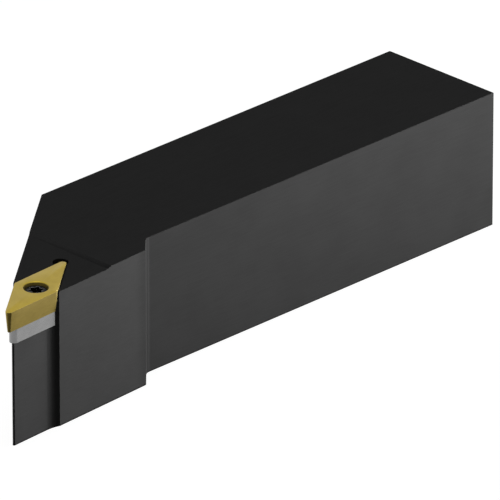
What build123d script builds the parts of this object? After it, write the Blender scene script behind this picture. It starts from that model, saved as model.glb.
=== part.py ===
from build123d import *
import math
import os

# Right-hand screw-clamp turning tool holder with a 35 degree rhombic positive insert.
# Millimetres. X runs along the shank from its rear end to the tip, Y from the locating side to the
# cutting side, and Z up from the base. The origin is the corner where the rear end, the locating
# side and the base meet, from which such a tool is measured.

# Shank and head
shank_height = 31.75
shank_width = 31.75
shank_length = 106.6          # rear end to where the head starts, on both sides
overall_length = 153.2        # rear end to the tip of the insert's nose
cutting_offset = 38.1         # locating side to the outermost point of the nose
step_angle = 45               # step from the shank's cutting side out to the head
step_fillet = 2.5
edge_break = 0.1

# Insert
main_edge_angle = 3           # main cutting edge to the shank's axis, for a 93 degree approach
point_angle = 35
inscribed_circle = 9.525
insert_thickness = 4.76
nose_radius = 0.8
clearance_angle = 5
insert_bore = 4.4
insert_mouth = 5.4            # the bore at the insert's top face
insert_seat_angle = 40        # included angle of the bore's mouth

# Shim
shim_thickness = 3.175
shim_set_in = 0.05            # inside the insert's lower outline
shim_corner_radius = 1.0
shim_bore = 5.2
shim_mouth = 6.3
shim_seat_angle = 90

# Head, measured square to the insert's edges or along them from its sharp point
side_set_in = 0.1             # cutting side of the head inside the main edge
relief_cutter_radius = 8.5    # cutter that leaves the reliefs beside the insert
relief_start = 17.25
front_relief_depth = 0.65     # from the head's cutting side
rear_relief_depth = 1.52      # from the head's slanted side
nose_edge_radius = 0.3

# Top land, milled below the cutting edge
land_drop = 0.37
land_start = 121.3
land_ramp = 1.2

# Drilled corner that clears the insert's rear point
corner_hole_diameter = 3.5
corner_hole_along = 1.9       # from the pocket's corner, along its long wall
corner_hole_out = 0.4         # behind that wall
corner_hole_extra_depth = 0.4

# Hollow shim screw and its blind hole
shim_screw_diameter = 4.96
shim_screw_head = 6.0
shim_screw_below = 0.1        # top of the screw below the shim's top face
shim_screw_length = 9.4
shim_screw_bore = 3.4
shim_screw_hex = 3.5
shim_screw_hex_depth = 2.2
shim_screw_chamfer = 0.3
thread_hole_diameter = 5.0
thread_hole_depth = 8.4
drill_point_angle = 118

# Insert screw
screw_length = 12.0
screw_head = 4.8
screw_below = 0.5             # top of the head below the insert's top face
screw_rim = 0.15
screw_thread = 3.3
screw_neck = 2.9
screw_neck_length = 1.0
screw_chamfer = 0.35
star_outer = 3.27
star_inner = 2.36
star_flute_radius = 0.55
star_lobe_radius = 0.2
star_depth = 1.4

# Levels
insert_top = shank_height
insert_bottom = insert_top - insert_thickness
pocket_floor = insert_bottom - shim_thickness

# The nose's arc touches both measuring lines, which fixes the insert's place
half_point = math.radians(point_angle / 2)
long_diagonal = inscribed_circle / math.sin(half_point)
short_diagonal = inscribed_circle / math.cos(half_point)
insert_angle = main_edge_angle + point_angle / 2
insert_axis = Vector(1, 0).rotate(Axis.Z, insert_angle)
nose_centre = Vector(overall_length - nose_radius, cutting_offset - nose_radius)
sharp_point = nose_centre + insert_axis * (nose_radius / math.sin(half_point))
insert_centre = sharp_point - insert_axis * (long_diagonal / 2)
pocket_corner = sharp_point - insert_axis * long_diagonal
lower_set_in = insert_thickness * math.tan(math.radians(clearance_angle))


def level_plane(point, angle, height):
    """A level plane whose X axis stands at that angle to the shank."""
    direction = Vector(1, 0).rotate(Axis.Z, angle)
    return Plane(origin=(point.X, point.Y, height), x_dir=direction, z_dir=(0, 0, 1))


def main_edge_plane(height=0):
    """X along the main edge, on past the sharp point. Y out of the cutting side."""
    return level_plane(sharp_point, main_edge_angle, height)


def trailing_edge_plane(height=0):
    """X along the trailing edge, back from the sharp point. Y out of the slanted side."""
    return level_plane(sharp_point, main_edge_angle + point_angle + 180, height)


def insert_plane(height):
    """X along the insert's long diagonal, to its cutting point."""
    return level_plane(insert_centre, insert_angle, height)


def rhombus(share=1.0):
    """Draw that share of the insert's outline, with sharp corners, in the open sketch."""
    tip = share * long_diagonal / 2
    flank = share * short_diagonal / 2
    Polygon((tip, 0), (0, flank), (-tip, 0), (0, -flank), align=None)


def relief_outline(start, face, depth, way):
    """The outline of a relief cut: it starts at X = start on the line Y = face, in the arc of the
    cutter, and runs on straight past the tip, which lies that way along X."""
    arc_angle = math.degrees(math.acos(1 - depth / relief_cutter_radius))
    arc_length = relief_cutter_radius * math.sin(math.radians(arc_angle))
    floor = face - depth
    centre = (start + way * arc_length, floor + relief_cutter_radius)
    past_tip = way * relief_cutter_radius
    outside = face + relief_cutter_radius
    first_angle = 270 - arc_angle if way > 0 else 270
    with BuildLine() as cut:
        CenterArc(centre, relief_cutter_radius, first_angle, arc_angle)
        Polyline((centre[0], floor), (past_tip, floor), (past_tip, outside), (start, outside), (start, face))
    return cut.edges()


# Holder body: shank and offset head in one outline
head_side = main_edge_plane().to_local_coords(Vector(shank_length, shank_width)).Y
step_run = (-side_set_in - head_side) / math.sin(math.radians(step_angle - main_edge_angle))
step_foot = Vector(shank_length, shank_width)
step_top = step_foot + Vector(1, 0).rotate(Axis.Z, step_angle) * step_run
slant_proud = trailing_edge_plane().to_local_coords(Vector(shank_length, 0)).Y
tip_along = (slant_proud - side_set_in * math.cos(2 * half_point)) / math.sin(2 * half_point)
head_tip = main_edge_plane().from_local_coords(Vector(tip_along, -side_set_in))

with BuildPart() as holder_body:
    with BuildSketch(Plane.XY) as outline:
        with BuildLine():
            Polyline(
                (0, 0),
                (0, shank_width),
                (step_foot.X, step_foot.Y),
                (step_top.X, step_top.Y),
                (head_tip.X, head_tip.Y),
                (shank_length, 0),
                close=True,
            )
        make_face()
        foot = outline.vertices().sort_by_distance((step_foot.X, step_foot.Y, 0))[0]
        fillet(foot, step_fillet)
    extrude(amount=shank_height)

    # Lowered land, with a short ramp down to it
    with BuildSketch(Plane.XZ) as land:
        ramp_end = land_start + land_ramp
        land_height = insert_top - land_drop
        with BuildLine():
            Polyline(
                (land_start, insert_top),
                (ramp_end, land_height),
                (overall_length + land_drop, land_height),
                (overall_length + land_drop, insert_top),
                close=True,
            )
        make_face()
    extrude(amount=-2 * shank_width, mode=Mode.SUBTRACT)

    # Reliefs beside both cutting edges, over the head's whole height
    with BuildSketch(main_edge_plane()) as front_relief:
        make_face(relief_outline(-relief_start, -side_set_in, front_relief_depth, 1))
    extrude(amount=insert_top, mode=Mode.SUBTRACT)
    with BuildSketch(trailing_edge_plane()) as rear_relief:
        make_face(relief_outline(relief_start, slant_proud, rear_relief_depth, -1))
    extrude(amount=insert_top, mode=Mode.SUBTRACT)

    # Pocket, open past both cutting edges: its walls have the insert's clearance, and stand upright
    # beside the shim
    with BuildSketch(insert_plane(insert_top)) as insert_pocket:
        with Locations((long_diagonal / 2, 0)):
            rhombus(2)
    extrude(amount=-insert_thickness, taper=clearance_angle, mode=Mode.SUBTRACT)
    with BuildSketch(insert_plane(insert_bottom)) as shim_pocket:
        with Locations((long_diagonal / 2 + lower_set_in / math.sin(half_point), 0)):
            rhombus(2)
    extrude(amount=-shim_thickness, mode=Mode.SUBTRACT)
    hole_place = main_edge_plane().to_local_coords(pocket_corner)
    hole_place += Vector(corner_hole_along, -corner_hole_out)
    with BuildSketch(main_edge_plane(insert_top)) as corner_hole:
        with Locations((hole_place.X, hole_place.Y)):
            Circle(corner_hole_diameter / 2)
    hole_depth = insert_top - pocket_floor + corner_hole_extra_depth
    extrude(amount=-hole_depth, mode=Mode.SUBTRACT)

    # Blind threaded hole in the pocket's floor
    with BuildSketch(Plane.XZ.offset(-insert_centre.Y)) as thread_hole:
        hole_radius = thread_hole_diameter / 2
        full_depth = pocket_floor - thread_hole_depth
        point_height = hole_radius / math.tan(math.radians(drill_point_angle / 2))
        with Locations((insert_centre.X, 0)):
            Polygon(
                (0, insert_top),
                (hole_radius, insert_top),
                (hole_radius, full_depth),
                (0, full_depth - point_height),
                align=None,
            )
    screw_axis = Axis((insert_centre.X, insert_centre.Y, 0), (0, 0, 1))
    revolve(axis=screw_axis, mode=Mode.SUBTRACT)

    # Broken edges
    nose_edge = holder_body.edges().filter_by(Axis.Z).sort_by(Axis.X)[-1]
    fillet(nose_edge, nose_edge_radius)
    shank_edges = holder_body.edges().filter_by(Axis.X).filter_by(lambda e: e.length > shank_length / 2)
    rear_edges = holder_body.faces().sort_by(Axis.X)[0].edges()
    chamfer(shank_edges + rear_edges, edge_break)
holder_body.part.label = "holder_body"

# Insert
with BuildPart() as insert:
    with BuildSketch(insert_plane(insert_top)) as insert_outline:
        rhombus()
        fillet(insert_outline.vertices(), nose_radius)
    extrude(amount=-insert_thickness, taper=clearance_angle)
    with Locations(insert_plane(insert_top)):
        CounterSinkHole(insert_bore / 2, insert_mouth / 2, counter_sink_angle=insert_seat_angle)
insert.part.label = "insert"

# Shim
with BuildPart() as shim:
    with BuildSketch(insert_plane(insert_bottom)) as shim_outline:
        rhombus(1 - 2 * (lower_set_in + shim_set_in) / inscribed_circle)
    extrude(amount=-shim_thickness)
    fillet(shim.edges().filter_by(Plane.XY, reverse=True), shim_corner_radius)
    with Locations(insert_plane(insert_bottom)):
        CounterSinkHole(shim_bore / 2, shim_mouth / 2, counter_sink_angle=shim_seat_angle)
shim.part.label = "shim"

# Shim screw
shim_screw_top = insert_bottom - shim_screw_below
with BuildPart() as shim_screw:
    with BuildSketch(Plane.XZ.offset(-insert_centre.Y)) as shim_screw_section:
        head_radius = shim_screw_head / 2
        body_radius = shim_screw_diameter / 2
        rim_bottom = shim_screw_top + shim_screw_below - (shim_mouth / 2 - head_radius)
        cone_bottom = rim_bottom - (head_radius - body_radius)
        screw_bottom = shim_screw_top - shim_screw_length
        with Locations((insert_centre.X, 0)):
            Polygon(
                (0, shim_screw_top),
                (head_radius, shim_screw_top),
                (head_radius, rim_bottom),
                (body_radius, cone_bottom),
                (body_radius, screw_bottom + shim_screw_chamfer),
                (body_radius - shim_screw_chamfer, screw_bottom),
                (0, screw_bottom),
                align=None,
            )
    revolve(axis=screw_axis)
    with Locations(insert_plane(shim_screw_top)):
        Hole(shim_screw_bore / 2)
    with BuildSketch(insert_plane(shim_screw_top)) as hex_socket:
        RegularPolygon(shim_screw_hex / 2, 6, major_radius=False)
    extrude(amount=-shim_screw_hex_depth, mode=Mode.SUBTRACT)
shim_screw.part.label = "shim_screw"

# Insert screw
screw_top = insert_top - screw_below
with BuildPart() as insert_screw:
    with BuildSketch(Plane.XZ.offset(-insert_centre.Y)) as insert_screw_section:
        head_radius = screw_head / 2
        thread_radius = screw_thread / 2
        neck_radius = screw_neck / 2
        rim_bottom = screw_top - screw_rim
        seat_slope = math.tan(math.radians(insert_seat_angle / 2))
        cone_bottom = rim_bottom - (head_radius - neck_radius) / seat_slope
        thread_top = cone_bottom - screw_neck_length
        screw_bottom = screw_top - screw_length
        with Locations((insert_centre.X, 0)):
            Polygon(
                (0, screw_top),
                (head_radius, screw_top),
                (head_radius, rim_bottom),
                (neck_radius, cone_bottom),
                (neck_radius, thread_top),
                (thread_radius, thread_top - (thread_radius - neck_radius)),
                (thread_radius, screw_bottom + screw_chamfer),
                (thread_radius - screw_chamfer, screw_bottom),
                (0, screw_bottom),
                align=None,
            )
    revolve(axis=screw_axis)
    with BuildSketch(insert_plane(screw_top)) as star_socket:
        Circle(star_outer / 2)
        with PolarLocations(star_inner / 2 + star_flute_radius, 6):
            Circle(star_flute_radius, mode=Mode.SUBTRACT)
        fillet(star_socket.vertices(), star_lobe_radius)
    extrude(amount=-star_depth, mode=Mode.SUBTRACT)
insert_screw.part.label = "insert_screw"

os.makedirs("parts", exist_ok=True)
export_step(holder_body.part, "parts/holder_body.step")
export_step(insert.part, "parts/insert.step")
export_step(shim.part, "parts/shim.step")
export_step(shim_screw.part, "parts/shim_screw.step")
export_step(insert_screw.part, "parts/insert_screw.step")
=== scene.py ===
import bmesh
import bpy
import math
from mathutils import Matrix, Vector


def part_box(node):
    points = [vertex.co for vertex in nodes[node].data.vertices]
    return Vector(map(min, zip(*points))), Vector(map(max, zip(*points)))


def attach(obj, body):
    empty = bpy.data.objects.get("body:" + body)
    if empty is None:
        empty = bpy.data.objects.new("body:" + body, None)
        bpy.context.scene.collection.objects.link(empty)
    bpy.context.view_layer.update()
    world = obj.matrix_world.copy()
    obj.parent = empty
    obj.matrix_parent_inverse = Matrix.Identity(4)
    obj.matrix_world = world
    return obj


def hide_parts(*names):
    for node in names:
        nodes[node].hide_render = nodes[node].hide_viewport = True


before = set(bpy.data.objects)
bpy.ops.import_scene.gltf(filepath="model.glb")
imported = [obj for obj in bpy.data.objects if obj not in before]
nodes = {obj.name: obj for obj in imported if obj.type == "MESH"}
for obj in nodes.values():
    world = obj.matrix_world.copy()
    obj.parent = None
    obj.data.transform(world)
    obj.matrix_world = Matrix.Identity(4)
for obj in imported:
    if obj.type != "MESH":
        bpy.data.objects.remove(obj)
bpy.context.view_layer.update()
MM = 0.001


# Node helpers
TURN_AT_FLAT, TURN_AT_EDGE = 0.97, 0.78     # cosine between the rounded normal and the true one
OPEN_SHARE, SEAM_SHARE = 0.95, 0.65         # of the sky that a point sees


def add(tree, kind, inputs=None, **settings):
    """Add a shader node with its settings. An input is a value, or a socket to link from."""
    made = tree.nodes.new("ShaderNode" + kind)
    for name, value in settings.items():
        setattr(made, name, value)
    for name, value in (inputs or {}).items():
        if isinstance(value, bpy.types.NodeSocket):
            tree.links.new(value, made.inputs[name])
        else:
            made.inputs[name].default_value = value
    return made


def math_node(tree, operation, first, second=0.0, third=0.0):
    made = add(tree, "Math", {0: first, 1: second, 2: third}, operation=operation)
    return made.outputs[0]


def product(tree, first, *others):
    for other in others:
        first = math_node(tree, "MULTIPLY", first, other)
    return first


def weighted(tree, *terms, base=0.0):
    """The base plus each value times its weight."""
    total = base
    for value, weight in terms:
        total = math_node(tree, "MULTIPLY_ADD", value, weight, total)
    return total


def ramp(tree, value, low, high, to_low=0.0, to_high=1.0):
    """A smooth step as the value goes from low to high."""
    made = add(
        tree,
        "MapRange",
        {"Value": value, "From Min": low, "From Max": high, "To Min": to_low, "To Max": to_high},
        interpolation_type="SMOOTHSTEP",
    )
    return made.outputs[0]


def millimetres(tree, stretch=(1, 1, 1)):
    """The object's own coordinates in millimetres, times a stretch."""
    coordinates = add(tree, "TexCoord").outputs["Object"]
    scale = tuple(share / MM for share in stretch)
    made = add(tree, "Mapping", {"Vector": coordinates, "Scale": scale})
    return made.outputs[0]


def parts(tree, vector):
    return add(tree, "SeparateXYZ", {0: vector}).outputs


def facing_parts(tree):
    """The X, Y and Z of the surface's normal, in the object's own axes."""
    return parts(tree, add(tree, "TexCoord").outputs["Normal"])


def noise(tree, vector, scale, detail, roughness):
    made = add(
        tree,
        "TexNoise",
        {"Vector": vector, "Scale": scale, "Detail": detail, "Roughness": roughness},
    )
    return made.outputs["Fac"]


def mottle(tree, fine, coarse, fine_share=0.5):
    """Two noises added by their shares, and spread over 0 to 1."""
    both = weighted(tree, (coarse, 1 - fine_share), (fine, fine_share))
    return ramp(tree, both, 0.3, 0.7)


def mix_colour(tree, share, first, second):
    made = add(tree, "Mix", {0: share, 6: first, 7: second}, data_type="RGBA")
    return made.outputs[2]


def grey(level):
    return (level, level, level, 1.0)


def mix_grey(tree, share, first, second):
    return mix_colour(tree, share, grey(first), grey(second))


def edge_mask(tree, radius):
    """1 on sharp edges and 0 on open faces, from how far a rounded normal turns."""
    rounded = add(tree, "Bevel", {"Radius": radius * MM}, samples=6).outputs[0]
    flat = add(tree, "NewGeometry").outputs["Normal"]
    agreement = add(tree, "VectorMath", {0: rounded, 1: flat}, operation="DOT_PRODUCT")
    return ramp(tree, agreement.outputs["Value"], TURN_AT_FLAT, TURN_AT_EDGE)


def seam_shade_mask(tree, reach):
    """1 where another surface stands close, as in a seam, and 0 in the open; it masks painted
    shade.
    """
    open_share = add(tree, "AmbientOcclusion", {"Distance": reach * MM}, samples=8).outputs["AO"]
    return ramp(tree, open_share, OPEN_SHARE, SEAM_SHARE)


def bump(tree, height, distance):
    made = add(tree, "Bump", {"Height": height, "Distance": distance * MM, "Strength": 1.0})
    return made.outputs[0]


def new_material(name):
    material = bpy.data.materials.new(name)
    material.use_nodes = True
    tree = material.node_tree
    tree.nodes.clear()
    return material, tree


def finish_material(tree, inputs):
    shader = add(tree, "BsdfPrincipled", inputs)
    output = add(tree, "OutputMaterial")
    tree.links.new(shader.outputs[0], output.inputs["Surface"])


# Materials. Sizes are in millimetres, and greys are shares of the light that a surface gives back.
HEAD_BLEND = (111.0, 114.0)     # along X, where the shank turns into the milled head, whose upright faces get painted light
GROUND_OXIDE = (0.042, 0.052)
# painted light: the head's upright faces get a lighter oxide, as if more light fell on them
HEAD_SIDE_PAINTED_LIGHT = (0.05, 0.062)
RAMP_PAINTED_SHADE = 0.032              # painted shade on the short ramp down to the head's top land
STEP_PAINTED_SHADE = 0.018              # painted shade on the step from the shank out to the head
# painted shade in seams, where other surfaces stand close
SEAM_PAINTED_SHADE = 0.008
BARE_STEEL = 0.16
WORN_SHARE = 0.35               # of an edge's most worn specks
EDGE_RADIUS = 0.25
SEAM_REACH = 0.5


def holder_steel():
    """Black oxide on a ground shank and a milled head, with edges worn to steel. Painted light
    makes the head's upright faces lighter, and painted shade darkens the top's ramp, the head's
    step and the seams.
    """
    material, tree = new_material("holder_steel")
    place = millimetres(tree)
    along = millimetres(tree, (0.03, 1, 1))
    lay = noise(tree, along, scale=5.0, detail=4.0, roughness=0.6)
    cloud = noise(tree, place, scale=0.09, detail=3.0, roughness=0.55)
    speck = noise(tree, place, scale=3.5, detail=2.0, roughness=0.6)
    tone = weighted(tree, (cloud, 0.35), (lay, 0.45), (speck, 0.2), base=0.25)
    tone = ramp(tree, tone, 0.55, 0.95)
    facing = facing_parts(tree)

    upright = ramp(tree, math_node(tree, "ABSOLUTE", facing["Z"]), 0.7, 0.3)
    on_head = ramp(tree, parts(tree, place)["X"], *HEAD_BLEND)
    ground = mix_grey(tree, tone, *GROUND_OXIDE)
    head_side_painted_light = mix_grey(tree, tone, *HEAD_SIDE_PAINTED_LIGHT)
    # painted light on the head's upright faces
    colour = mix_colour(tree, product(tree, upright, on_head), ground, head_side_painted_light)

    # painted shade on the forward-facing ramp down to the head's top land
    forward = ramp(tree, facing["X"], 0.1, 0.25)
    ramp_shade_mask = product(tree, forward, ramp(tree, facing["Z"], 0.7, 0.9))
    colour = mix_colour(tree, ramp_shade_mask, colour, grey(RAMP_PAINTED_SHADE))
    # painted shade on the step's face, which looks back along the shank
    rearward = ramp(tree, facing["X"], -0.02, -0.35)
    step_shade_mask = product(tree, rearward, ramp(tree, facing["Y"], 0.1, 0.4))
    colour = mix_colour(tree, step_shade_mask, colour, grey(STEP_PAINTED_SHADE))

    wear = product(tree, edge_mask(tree, EDGE_RADIUS), ramp(tree, speck, 0.5, 0.7), WORN_SHARE)
    # painted shade in the seams
    colour = mix_colour(tree, seam_shade_mask(tree, SEAM_REACH), colour, grey(SEAM_PAINTED_SHADE))
    colour = mix_colour(tree, wear, colour, grey(BARE_STEEL))
    height = weighted(tree, (speck, 0.4), (lay, 0.6))
    finish_material(
        tree,
        {
            "Base Color": colour,
            "Metallic": wear,
            "Roughness": weighted(tree, (cloud, 0.2), base=0.5),
            "Specular IOR Level": 0.003,
            "Normal": bump(tree, height, 0.003),
        },
    )
    return material


FACE_GOLD = ((0.325, 0.235, 0.025, 1), (0.385, 0.285, 0.035, 1))
# the flanks' gold is darker than the face's: painted shade, over their real ground grain
FLANK_GOLD_PAINTED_SHADE = ((0.172, 0.128, 0.029, 1), (0.216, 0.161, 0.039, 1))
# a lighter gold along the honed edges: partly rubbed coating, partly a painted highlight
HONED_GOLD_HIGHLIGHT = (0.5, 0.45, 0.27, 1)
HONE_HIGHLIGHT_SHARE = 0.18


def insert_coating():
    """Gold-coloured coating: a bright top face, satin ground flanks darkened by painted shade, and
    a rubbed cutting edge with a painted highlight.
    """
    material, tree = new_material("insert_coating")
    place = millimetres(tree)
    level = facing_parts(tree)["Z"]
    around = millimetres(tree, (0.08, 0.08, 1))
    grain = noise(tree, place, scale=6.0, detail=3.0, roughness=0.6)
    cloud = noise(tree, place, scale=0.4, detail=2.0, roughness=0.5)
    grinding = noise(tree, around, scale=9.0, detail=2.0, roughness=0.6)
    face = mix_colour(tree, mottle(tree, grain, cloud), *FACE_GOLD)
    # painted shade: the flanks darker than the top face
    flank = mix_colour(tree, mottle(tree, grinding, cloud, fine_share=0.6), *FLANK_GOLD_PAINTED_SHADE)
    colour = mix_colour(tree, ramp(tree, level, 0.6, 0.9), flank, face)
    # painted highlight along the honed edges, partly rubbed coating
    hone_highlight = product(tree, edge_mask(tree, EDGE_RADIUS), HONE_HIGHLIGHT_SHARE)
    finish_material(
        tree,
        {
            "Base Color": mix_colour(tree, hone_highlight, colour, HONED_GOLD_HIGHLIGHT),
            "Metallic": ramp(tree, level, 0.6, 0.9, 0.2, 1.0),
            "Roughness": weighted(tree, (grain, 0.15), base=0.35),
            "Specular IOR Level": 0.02,
            "Normal": bump(tree, grain, 0.002),
        },
    )
    return material


CARBIDE_GREY = (0.23, 0.265)


def shim_carbide():
    """Ground carbide: an even pale grey with a fine grain."""
    material, tree = new_material("shim_carbide")
    place = millimetres(tree)
    grain = noise(tree, place, scale=8.0, detail=3.0, roughness=0.6)
    cloud = noise(tree, place, scale=0.5, detail=2.0, roughness=0.5)
    finish_material(
        tree,
        {
            "Base Color": mix_grey(tree, mottle(tree, grain, cloud), *CARBIDE_GREY),
            "Metallic": 0.8,
            "Roughness": weighted(tree, (grain, 0.1), base=0.2),
            "Specular IOR Level": 0.02,
            "Normal": bump(tree, grain, 0.002),
        },
    )
    return material


SCREW_BLACK = (0.007, 0.014)
# rubbed edges painted bright: partly wear, partly a painted highlight
RUBBED_STEEL_GLINT = 0.45
RUBBED_RADIUS = 0.2


def screw_steel():
    """Blackened screw steel, with rubbed steel at the threads' crests and the socket's edge,
    painted bright partly as wear and partly as a highlight.
    """
    material, tree = new_material("screw_steel")
    grain = noise(tree, millimetres(tree), scale=8.0, detail=3.0, roughness=0.6)
    black = mix_grey(tree, ramp(tree, grain, 0.3, 0.7), *SCREW_BLACK)
    # rubbed edges painted bright: partly wear, partly a painted highlight
    rubbed_glint = product(tree, edge_mask(tree, RUBBED_RADIUS), ramp(tree, grain, 0.2, 0.45))
    finish_material(
        tree,
        {
            "Base Color": mix_colour(tree, rubbed_glint, black, grey(RUBBED_STEEL_GLINT)),
            "Metallic": ramp(tree, rubbed_glint, 0.0, 1.0, 0.5, 1.0),
            "Roughness": weighted(tree, (grain, 0.2), base=0.3),
            "Specular IOR Level": 0.01,
            "Normal": bump(tree, grain, 0.002),
        },
    )
    return material


looks = {
    "holder_body": holder_steel(),
    "shim": shim_carbide(),
}
for name, material in looks.items():
    for slot in nodes[name].material_slots:
        slot.material = material


# Skins. A piece is a stack of loops, in millimetres from the middle of its top face.
SHARP_ANGLE = math.radians(38)


def skin(name, loops, top, closed):
    """Join loops of as many points each into a smooth skin about the top point. A closed stack
    joins its last loop to its first, and an open one ends in a point at each end."""
    shape = bmesh.new()
    rows = [[shape.verts.new(top + Vector(point) * MM) for point in loop] for loop in loops]
    count = len(rows[0])
    pairs = list(zip(rows, rows[1:]))
    if closed:
        pairs.append((rows[-1], rows[0]))
    for upper, lower in pairs:
        for step in range(count):
            following = (step + 1) % count
            shape.faces.new((upper[step], lower[step], lower[following], upper[following]))
    if not closed:
        for row, turn in ((rows[0], 1), (rows[-1], -1)):
            middle = shape.verts.new(Vector((top.x, top.y, row[0].co.z)))
            for step in range(count):
                corners = (middle, row[step], row[(step + 1) % count])
                shape.faces.new(corners[::turn])
    bmesh.ops.recalc_face_normals(shape, faces=shape.faces)
    mesh = bpy.data.meshes.new(name)
    shape.to_mesh(mesh)
    shape.free()
    mesh.shade_smooth()
    mesh.set_sharp_from_angle(angle=SHARP_ANGLE)
    made = bpy.data.objects.new(name, mesh)
    bpy.context.scene.collection.objects.link(made)
    return made


def screw_top(node):
    """The middle of a screw's top face, from its solid."""
    low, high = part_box(node)
    return Vector(((low.x + high.x) / 2, (low.y + high.y) / 2, high.z))


# Screws. A ring is its depth and either a radius or the radius at each angle.
SEGMENTS = 96
RINGS_PER_PITCH = 12
SIXTH = math.pi / 3

STAR_OUTER = 1.635
STAR_INNER = 1.18
STAR_FLUTE = 0.55
STAR_DEPTH = 1.4
STAR_LEAD_IN = 0.1
HEAD_SINK = 0.12                # of the head's visible face below the solid's
HEAD_RADIUS = 2.36
NECK_RADIUS = 1.35
SCREW_LENGTH = 12.0
SCREW_PITCH = 0.6
SCREW_CREST = 1.65
SCREW_ROOT = 1.28

HEX_ACROSS = 3.5
HEX_DEPTH = 2.2
HEX_LEAD_IN = 0.08
SHIM_SCREW_LENGTH = 9.4
SHIM_SCREW_HEAD = 3.0
SHIM_SCREW_PITCH = 0.5
SHIM_SCREW_CREST = 2.48
SHIM_SCREW_ROOT = 2.2
INNER_CREST = 1.72              # thread in the hollow screw, for the insert's screw
INNER_ROOT = 1.85


def from_nearest_sixth(angle):
    """The angle from the nearest sixth of a turn."""
    return (angle + SIXTH / 2) % SIXTH - SIXTH / 2


def star_radius(angle):
    """The six-lobed socket: a circle that six round flutes bite into."""
    turn = from_nearest_sixth(angle)
    flute_centre = STAR_INNER + STAR_FLUTE
    reach = STAR_FLUTE**2 - (flute_centre * math.sin(turn)) ** 2
    if reach <= 0:
        return STAR_OUTER
    return min(STAR_OUTER, flute_centre * math.cos(turn) - math.sqrt(reach))


def hexagon_radius(angle):
    return HEX_ACROSS / 2 / math.cos(from_nearest_sixth(angle))


def wider(radius, extra):
    return lambda angle: radius(angle) + extra


def thread(start, end, pitch, crest, root):
    """The rings of a single-start thread from start down to end, which runs out at both ends."""
    count = round((end - start) / pitch * RINGS_PER_PITCH)
    rings = []
    for step in range(count + 1):
        depth = start + (end - start) * step / count
        run_out = min(1.0, (depth - start) / pitch, (end - depth) / pitch)

        def radius(angle, depth=depth, run_out=run_out):
            phase = (depth / pitch + angle / (2 * math.pi)) % 1.0
            flank = min(1.0, max(0.0, 4 * abs(phase - 0.5) - 0.5) / 1.1)
            return crest - (crest - root) * flank * run_out

        rings.append((depth, radius))
    return rings


def turned_loops(rings):
    """The points of each ring, at even angles."""
    angles = [2 * math.pi * step / SEGMENTS for step in range(SEGMENTS)]
    loops = []
    for depth, radius in rings:
        loop = []
        for angle in angles:
            reach = radius(angle) if callable(radius) else radius
            loop.append((reach * math.cos(angle), reach * math.sin(angle), -depth))
        loops.append(loop)
    return loops


def insert_screw_rings():
    """From the socket's floor over the head and down the outside to the end."""
    cone_end = 2.76
    neck_start = 3.0
    thread_start = 3.6
    thread_end = SCREW_LENGTH - 0.5
    return [
        (HEAD_SINK + STAR_DEPTH, wider(star_radius, -0.05)),
        (HEAD_SINK + STAR_LEAD_IN, star_radius),
        (HEAD_SINK, wider(star_radius, STAR_LEAD_IN)),
        (HEAD_SINK, HEAD_RADIUS - 0.18),
        (HEAD_SINK + 0.04, HEAD_RADIUS - 0.06),
        (HEAD_SINK + 0.12, HEAD_RADIUS),
        (HEAD_SINK + 0.18, HEAD_RADIUS),
        (cone_end, NECK_RADIUS + 0.1),
        (neck_start, NECK_RADIUS),
        *thread(thread_start, thread_end, SCREW_PITCH, SCREW_CREST, SCREW_ROOT),
        (thread_end + 0.15, SCREW_CREST - 0.15),
        (SCREW_LENGTH, SCREW_CREST - 0.35),
    ]


def shim_screw_rings():
    """From the bore's lower end up the inside, over the head and down the outside."""
    end = SHIM_SCREW_LENGTH
    cone_end = 0.57
    undercut = 1.0
    outer_thread = thread(1.4, end - 0.5, SHIM_SCREW_PITCH, SHIM_SCREW_CREST, SHIM_SCREW_ROOT)
    inner_thread = thread(HEX_DEPTH + 0.4, end - 0.3, SCREW_PITCH, INNER_CREST, INNER_ROOT)
    return [
        (end, INNER_ROOT + 0.1),
        (end - 0.2, INNER_ROOT - 0.1),
        *reversed(inner_thread),
        (HEX_DEPTH + 0.1, INNER_CREST),
        (HEX_DEPTH, hexagon_radius),
        (0.1, hexagon_radius),
        (0.0, wider(hexagon_radius, HEX_LEAD_IN)),
        (0.0, SHIM_SCREW_HEAD - 0.1),
        (0.03, SHIM_SCREW_HEAD),
        (0.05, SHIM_SCREW_HEAD),
        (cone_end, SHIM_SCREW_CREST),
        (undercut, SHIM_SCREW_ROOT + 0.1),
        *outer_thread,
        (end - 0.3, SHIM_SCREW_CREST - 0.03),
        (end, SHIM_SCREW_CREST - 0.3),
    ]


insert_screw = skin(
    "insert_screw_threaded",
    turned_loops(insert_screw_rings()),
    screw_top("insert_screw"),
    closed=False,
)
shim_screw = skin(
    "shim_screw_threaded",
    turned_loops(shim_screw_rings()),
    screw_top("shim_screw"),
    closed=True,
)

# The insert, with honed edges and a rounded lip to its hole
INSERT_ANGLE = math.radians(20.5)       # its long diagonal to the shank's axis
POINT_ANGLE = math.radians(35)
INSCRIBED_RADIUS = 4.7625
INSERT_THICKNESS = 4.76
NOSE_RADIUS = 0.8
CLEARANCE = math.radians(5)
BORE_RADIUS = 2.2
BORE_BREAK = 0.3                        # at the hole's lower end
MOUTH_RADIUS = 2.7
SEAT_SLOPE = math.radians(70)
LIP_RADIUS = 0.5
LIP_STEPS = 8
HONE = 0.04
ACUTE_STEPS = 16
OBTUSE_STEPS = 6
EDGE_STEP = math.radians(4)


def towards(angle):
    return Vector((math.cos(angle), math.sin(angle)))


def angle_of(vector):
    return math.atan2(vector.y, vector.x)


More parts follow.
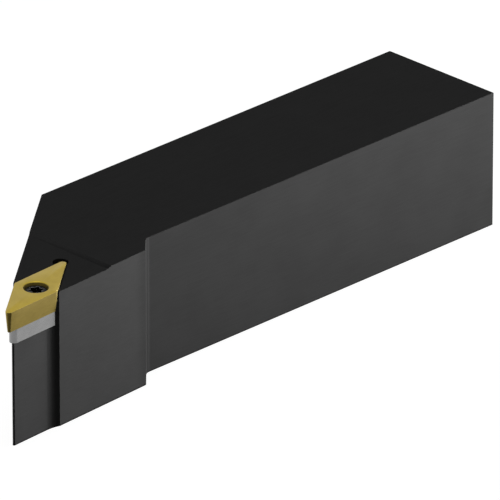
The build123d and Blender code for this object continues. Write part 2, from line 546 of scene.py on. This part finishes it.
def insert_outline():
    """Points round the insert's top edge with their outward normals, along its long diagonal."""
    half = POINT_ANGLE / 2
    core = INSCRIBED_RADIUS - NOSE_RADIUS
    outline = []
    for quarter in range(4):
        facing = quarter * math.pi / 2
        acute = quarter % 2 == 0
        away = core / (math.sin(half) if acute else math.cos(half))
        spread = math.pi / 2 - half if acute else half
        steps = ACUTE_STEPS if acute else OBTUSE_STEPS
        centre = away * towards(facing)
        for step in range(steps + 1):
            normal = towards(facing + spread * (2 * step / steps - 1))
            outline.append((centre + NOSE_RADIUS * normal, normal))
    return outline


def with_edges_divided(outline):
    """The outline with its straight edges cut up evenly, as seen from the middle."""
    full = []
    for (point, normal), (following, _) in zip(outline, outline[1:] + outline[:1]):
        full.append((point, normal))
        if (following - point).length < 2 * NOSE_RADIUS:
            continue
        start = angle_of(point)
        sweep = (angle_of(following) - start) % (2 * math.pi)
        from_middle = point.dot(normal)
        count = round(sweep / EDGE_STEP)
        for step in range(1, count):
            angle = start + sweep * step / count
            reach = from_middle / math.cos(angle - angle_of(normal))
            full.append((reach * towards(angle), normal))
    return full


def insert_loops():
    """Loops from the hole's lip over the top face, down the flank and back up the hole."""
    outline = with_edges_divided(insert_outline())
    turn = Matrix.Rotation(INSERT_ANGLE, 2)

    def at_depth(points, depth):
        return [((turn @ point).x, (turn @ point).y, -depth) for point in points]

    def edge_loop(inset, depth):
        return at_depth([point - normal * inset for point, normal in outline], depth)

    def round_loop(radius, depth):
        return at_depth([point.normalized() * radius for point, _ in outline], depth)

    lip_run = LIP_RADIUS * math.tan(SEAT_SLOPE / 2)
    lip = []
    for step in range(LIP_STEPS + 1):
        slope = SEAT_SLOPE * step / LIP_STEPS
        radius = MOUTH_RADIUS + lip_run - LIP_RADIUS * math.sin(slope)
        lip.append(round_loop(radius, LIP_RADIUS * (1 - math.cos(slope))))
    lower_inset = (INSERT_THICKNESS - HONE) * math.tan(CLEARANCE)
    seat_depth = (MOUTH_RADIUS - BORE_RADIUS) * math.tan(SEAT_SLOPE)
    return [
        *reversed(lip),
        edge_loop(HONE, 0),
        edge_loop(HONE * 0.3, HONE * 0.3),
        edge_loop(0, HONE),
        edge_loop(lower_inset, INSERT_THICKNESS - HONE),
        edge_loop(lower_inset + HONE, INSERT_THICKNESS),
        round_loop(BORE_RADIUS + BORE_BREAK, INSERT_THICKNESS),
        round_loop(BORE_RADIUS, INSERT_THICKNESS - BORE_BREAK),
        round_loop(BORE_RADIUS, seat_depth),
    ]


seat_axis = screw_top("insert_screw")
insert_top = Vector((seat_axis.x, seat_axis.y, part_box("insert")[1].z))
insert = skin("insert_honed", insert_loops(), insert_top, closed=True)
insert.data.materials.append(insert_coating())
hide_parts("insert")
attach(insert, "holder")
screw_material = screw_steel()
for piece, node, body in (
    (insert_screw, "insert_screw", "clamp_screw"),
    (shim_screw, "shim_screw", "holder"),
):
    piece.data.materials.append(screw_material)
    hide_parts(node)
    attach(piece, body)

# Floor
FLOOR_HALF = 4.0
FLOOR_GLOW = 0.93
floor_mesh = bpy.data.meshes.new("floor")
signs = ((-1, -1), (1, -1), (1, 1), (-1, 1))
floor_corners = [(x * FLOOR_HALF, y * FLOOR_HALF, 0) for x, y in signs]
floor_mesh.from_pydata(floor_corners, [], [(0, 1, 2, 3)])
floor = bpy.data.objects.new("floor", floor_mesh)
bpy.context.scene.collection.objects.link(floor)


def seen_directly(tree):
    """1 for the rays that show the background: from the camera, a mirror or through glass."""
    path = add(tree, "LightPath").outputs
    either = math_node(tree, "MAXIMUM", path["Is Camera Ray"], path["Is Glossy Ray"])
    return math_node(tree, "MAXIMUM", either, path["Is Transmission Ray"])


def floor_paint():
    material, tree = new_material("floor_paint")
    finish_material(
        tree,
        {
            "Base Color": grey(0.25),
            "Roughness": 1.0,
            "Specular IOR Level": 0.0,
            "Emission Color": grey(1.0),
            "Emission Strength": product(tree, seen_directly(tree), FLOOR_GLOW),
        },
    )
    return material


floor_mesh.materials.append(floor_paint())

# World: white where it is seen, dim as a light
WORLD_LIGHT = 0.04
world = bpy.data.worlds.new("studio")
bpy.context.scene.world = world
world.use_nodes = True
world.cycles.sampling_method = "NONE"
tree = world.node_tree
tree.nodes.clear()
strength = ramp(tree, seen_directly(tree), 0.0, 1.0, WORLD_LIGHT, 1.0)
background = add(tree, "Background", {"Color": grey(1.0), "Strength": strength})
output = add(tree, "OutputWorld")
tree.links.new(background.outputs[0], output.inputs["Surface"])


# Lamps
def aim(thing, place, target):
    thing.location = place
    thing.rotation_euler = (Vector(target) - Vector(place)).to_track_quat("-Z", "Y").to_euler()
    bpy.context.scene.collection.objects.link(thing)


def area_lamp(name, place, target, size, power, spread=180):
    lamp = bpy.data.lights.new(name, "AREA")
    lamp.shape = "RECTANGLE"
    lamp.size, lamp.size_y = size
    lamp.energy = power
    lamp.spread = math.radians(spread)
    aim(bpy.data.objects.new(name, lamp), place, target)


def sun_lamp(name, strength, angle):
    lamp = bpy.data.lights.new(name, "SUN")
    lamp.energy = strength
    lamp.angle = math.radians(angle)
    aim(bpy.data.objects.new(name, lamp), (0.0, 0.0, 1.0), (0.0, 0.0, 0.0))


area_lamp(
    "key",
    place=(-0.66, 0.17, 0.022),
    target=(0.10, -0.015, 0.117),
    size=(0.17, 0.04),
    power=1.5,
    spread=30,
)
area_lamp(
    "fill",
    place=(0.6, -0.75, 0.022),
    target=(0.08, 0.01, 0.016),
    size=(0.3, 0.04),
    power=11.0,
)
sun_lamp("overhead", strength=0.72, angle=24)

# Camera, fitted to the photograph: its place, and the directions back from the view and rightwards
CAMERA_PLACE = (1.80876, 1.76228, 1.15989)
VIEW_BACK = (0.6415, 0.6404, 0.4223)
VIEW_RIGHT = (-0.7065, 0.7077, 0.0)
camera_data = bpy.data.cameras.new("camera")
camera_data.sensor_width = 36
camera_data.lens = 906.8
camera_data.clip_end = 20
camera = bpy.data.objects.new("camera", camera_data)
bpy.context.scene.collection.objects.link(camera)
back = Vector(VIEW_BACK).normalized()
right = Vector(VIEW_RIGHT).normalized()
turned = Matrix((right, back.cross(right), back)).transposed()
camera.matrix_world = Matrix.Translation(CAMERA_PLACE) @ turned.to_4x4()
bpy.context.scene.camera = camera
bpy.context.scene.view_settings.view_transform = "Standard"
